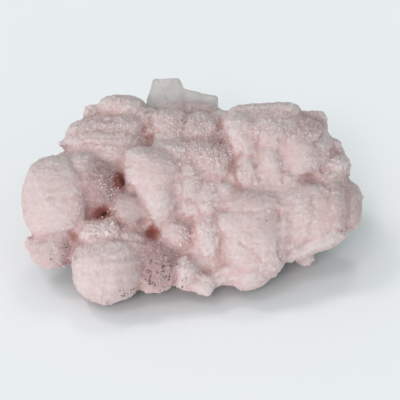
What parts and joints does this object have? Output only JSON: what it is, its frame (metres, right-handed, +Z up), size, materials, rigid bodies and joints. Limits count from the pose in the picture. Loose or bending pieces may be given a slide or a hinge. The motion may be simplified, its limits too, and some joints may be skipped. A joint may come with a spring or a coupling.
{
  "type": "rhodochrosite mineral specimen",
  "caption": "Rounded pink crystal crust of intergrown lumps, cut off flat underneath, with a thin grey plate of crystal standing in its crest.",
  "frame": {"origin": "on the surface that the specimen rests on, under the middle of its bounding box", "axes": "+Z up, +X along the specimen's length to the viewer's right, -Y towards the display side"},
  "size_m": [0.1026, 0.0664, 0.0477],
  "materials": {
    "rhodochrosite": null,
    "grey_crystal": "cloudy grey translucent crystal, satin"
  },
  "bodies": {
    "root": {"rhodochrosite_crust": "rhodochrosite", "grey_blade": "grey_crystal"}
  },
  "joints": []
}
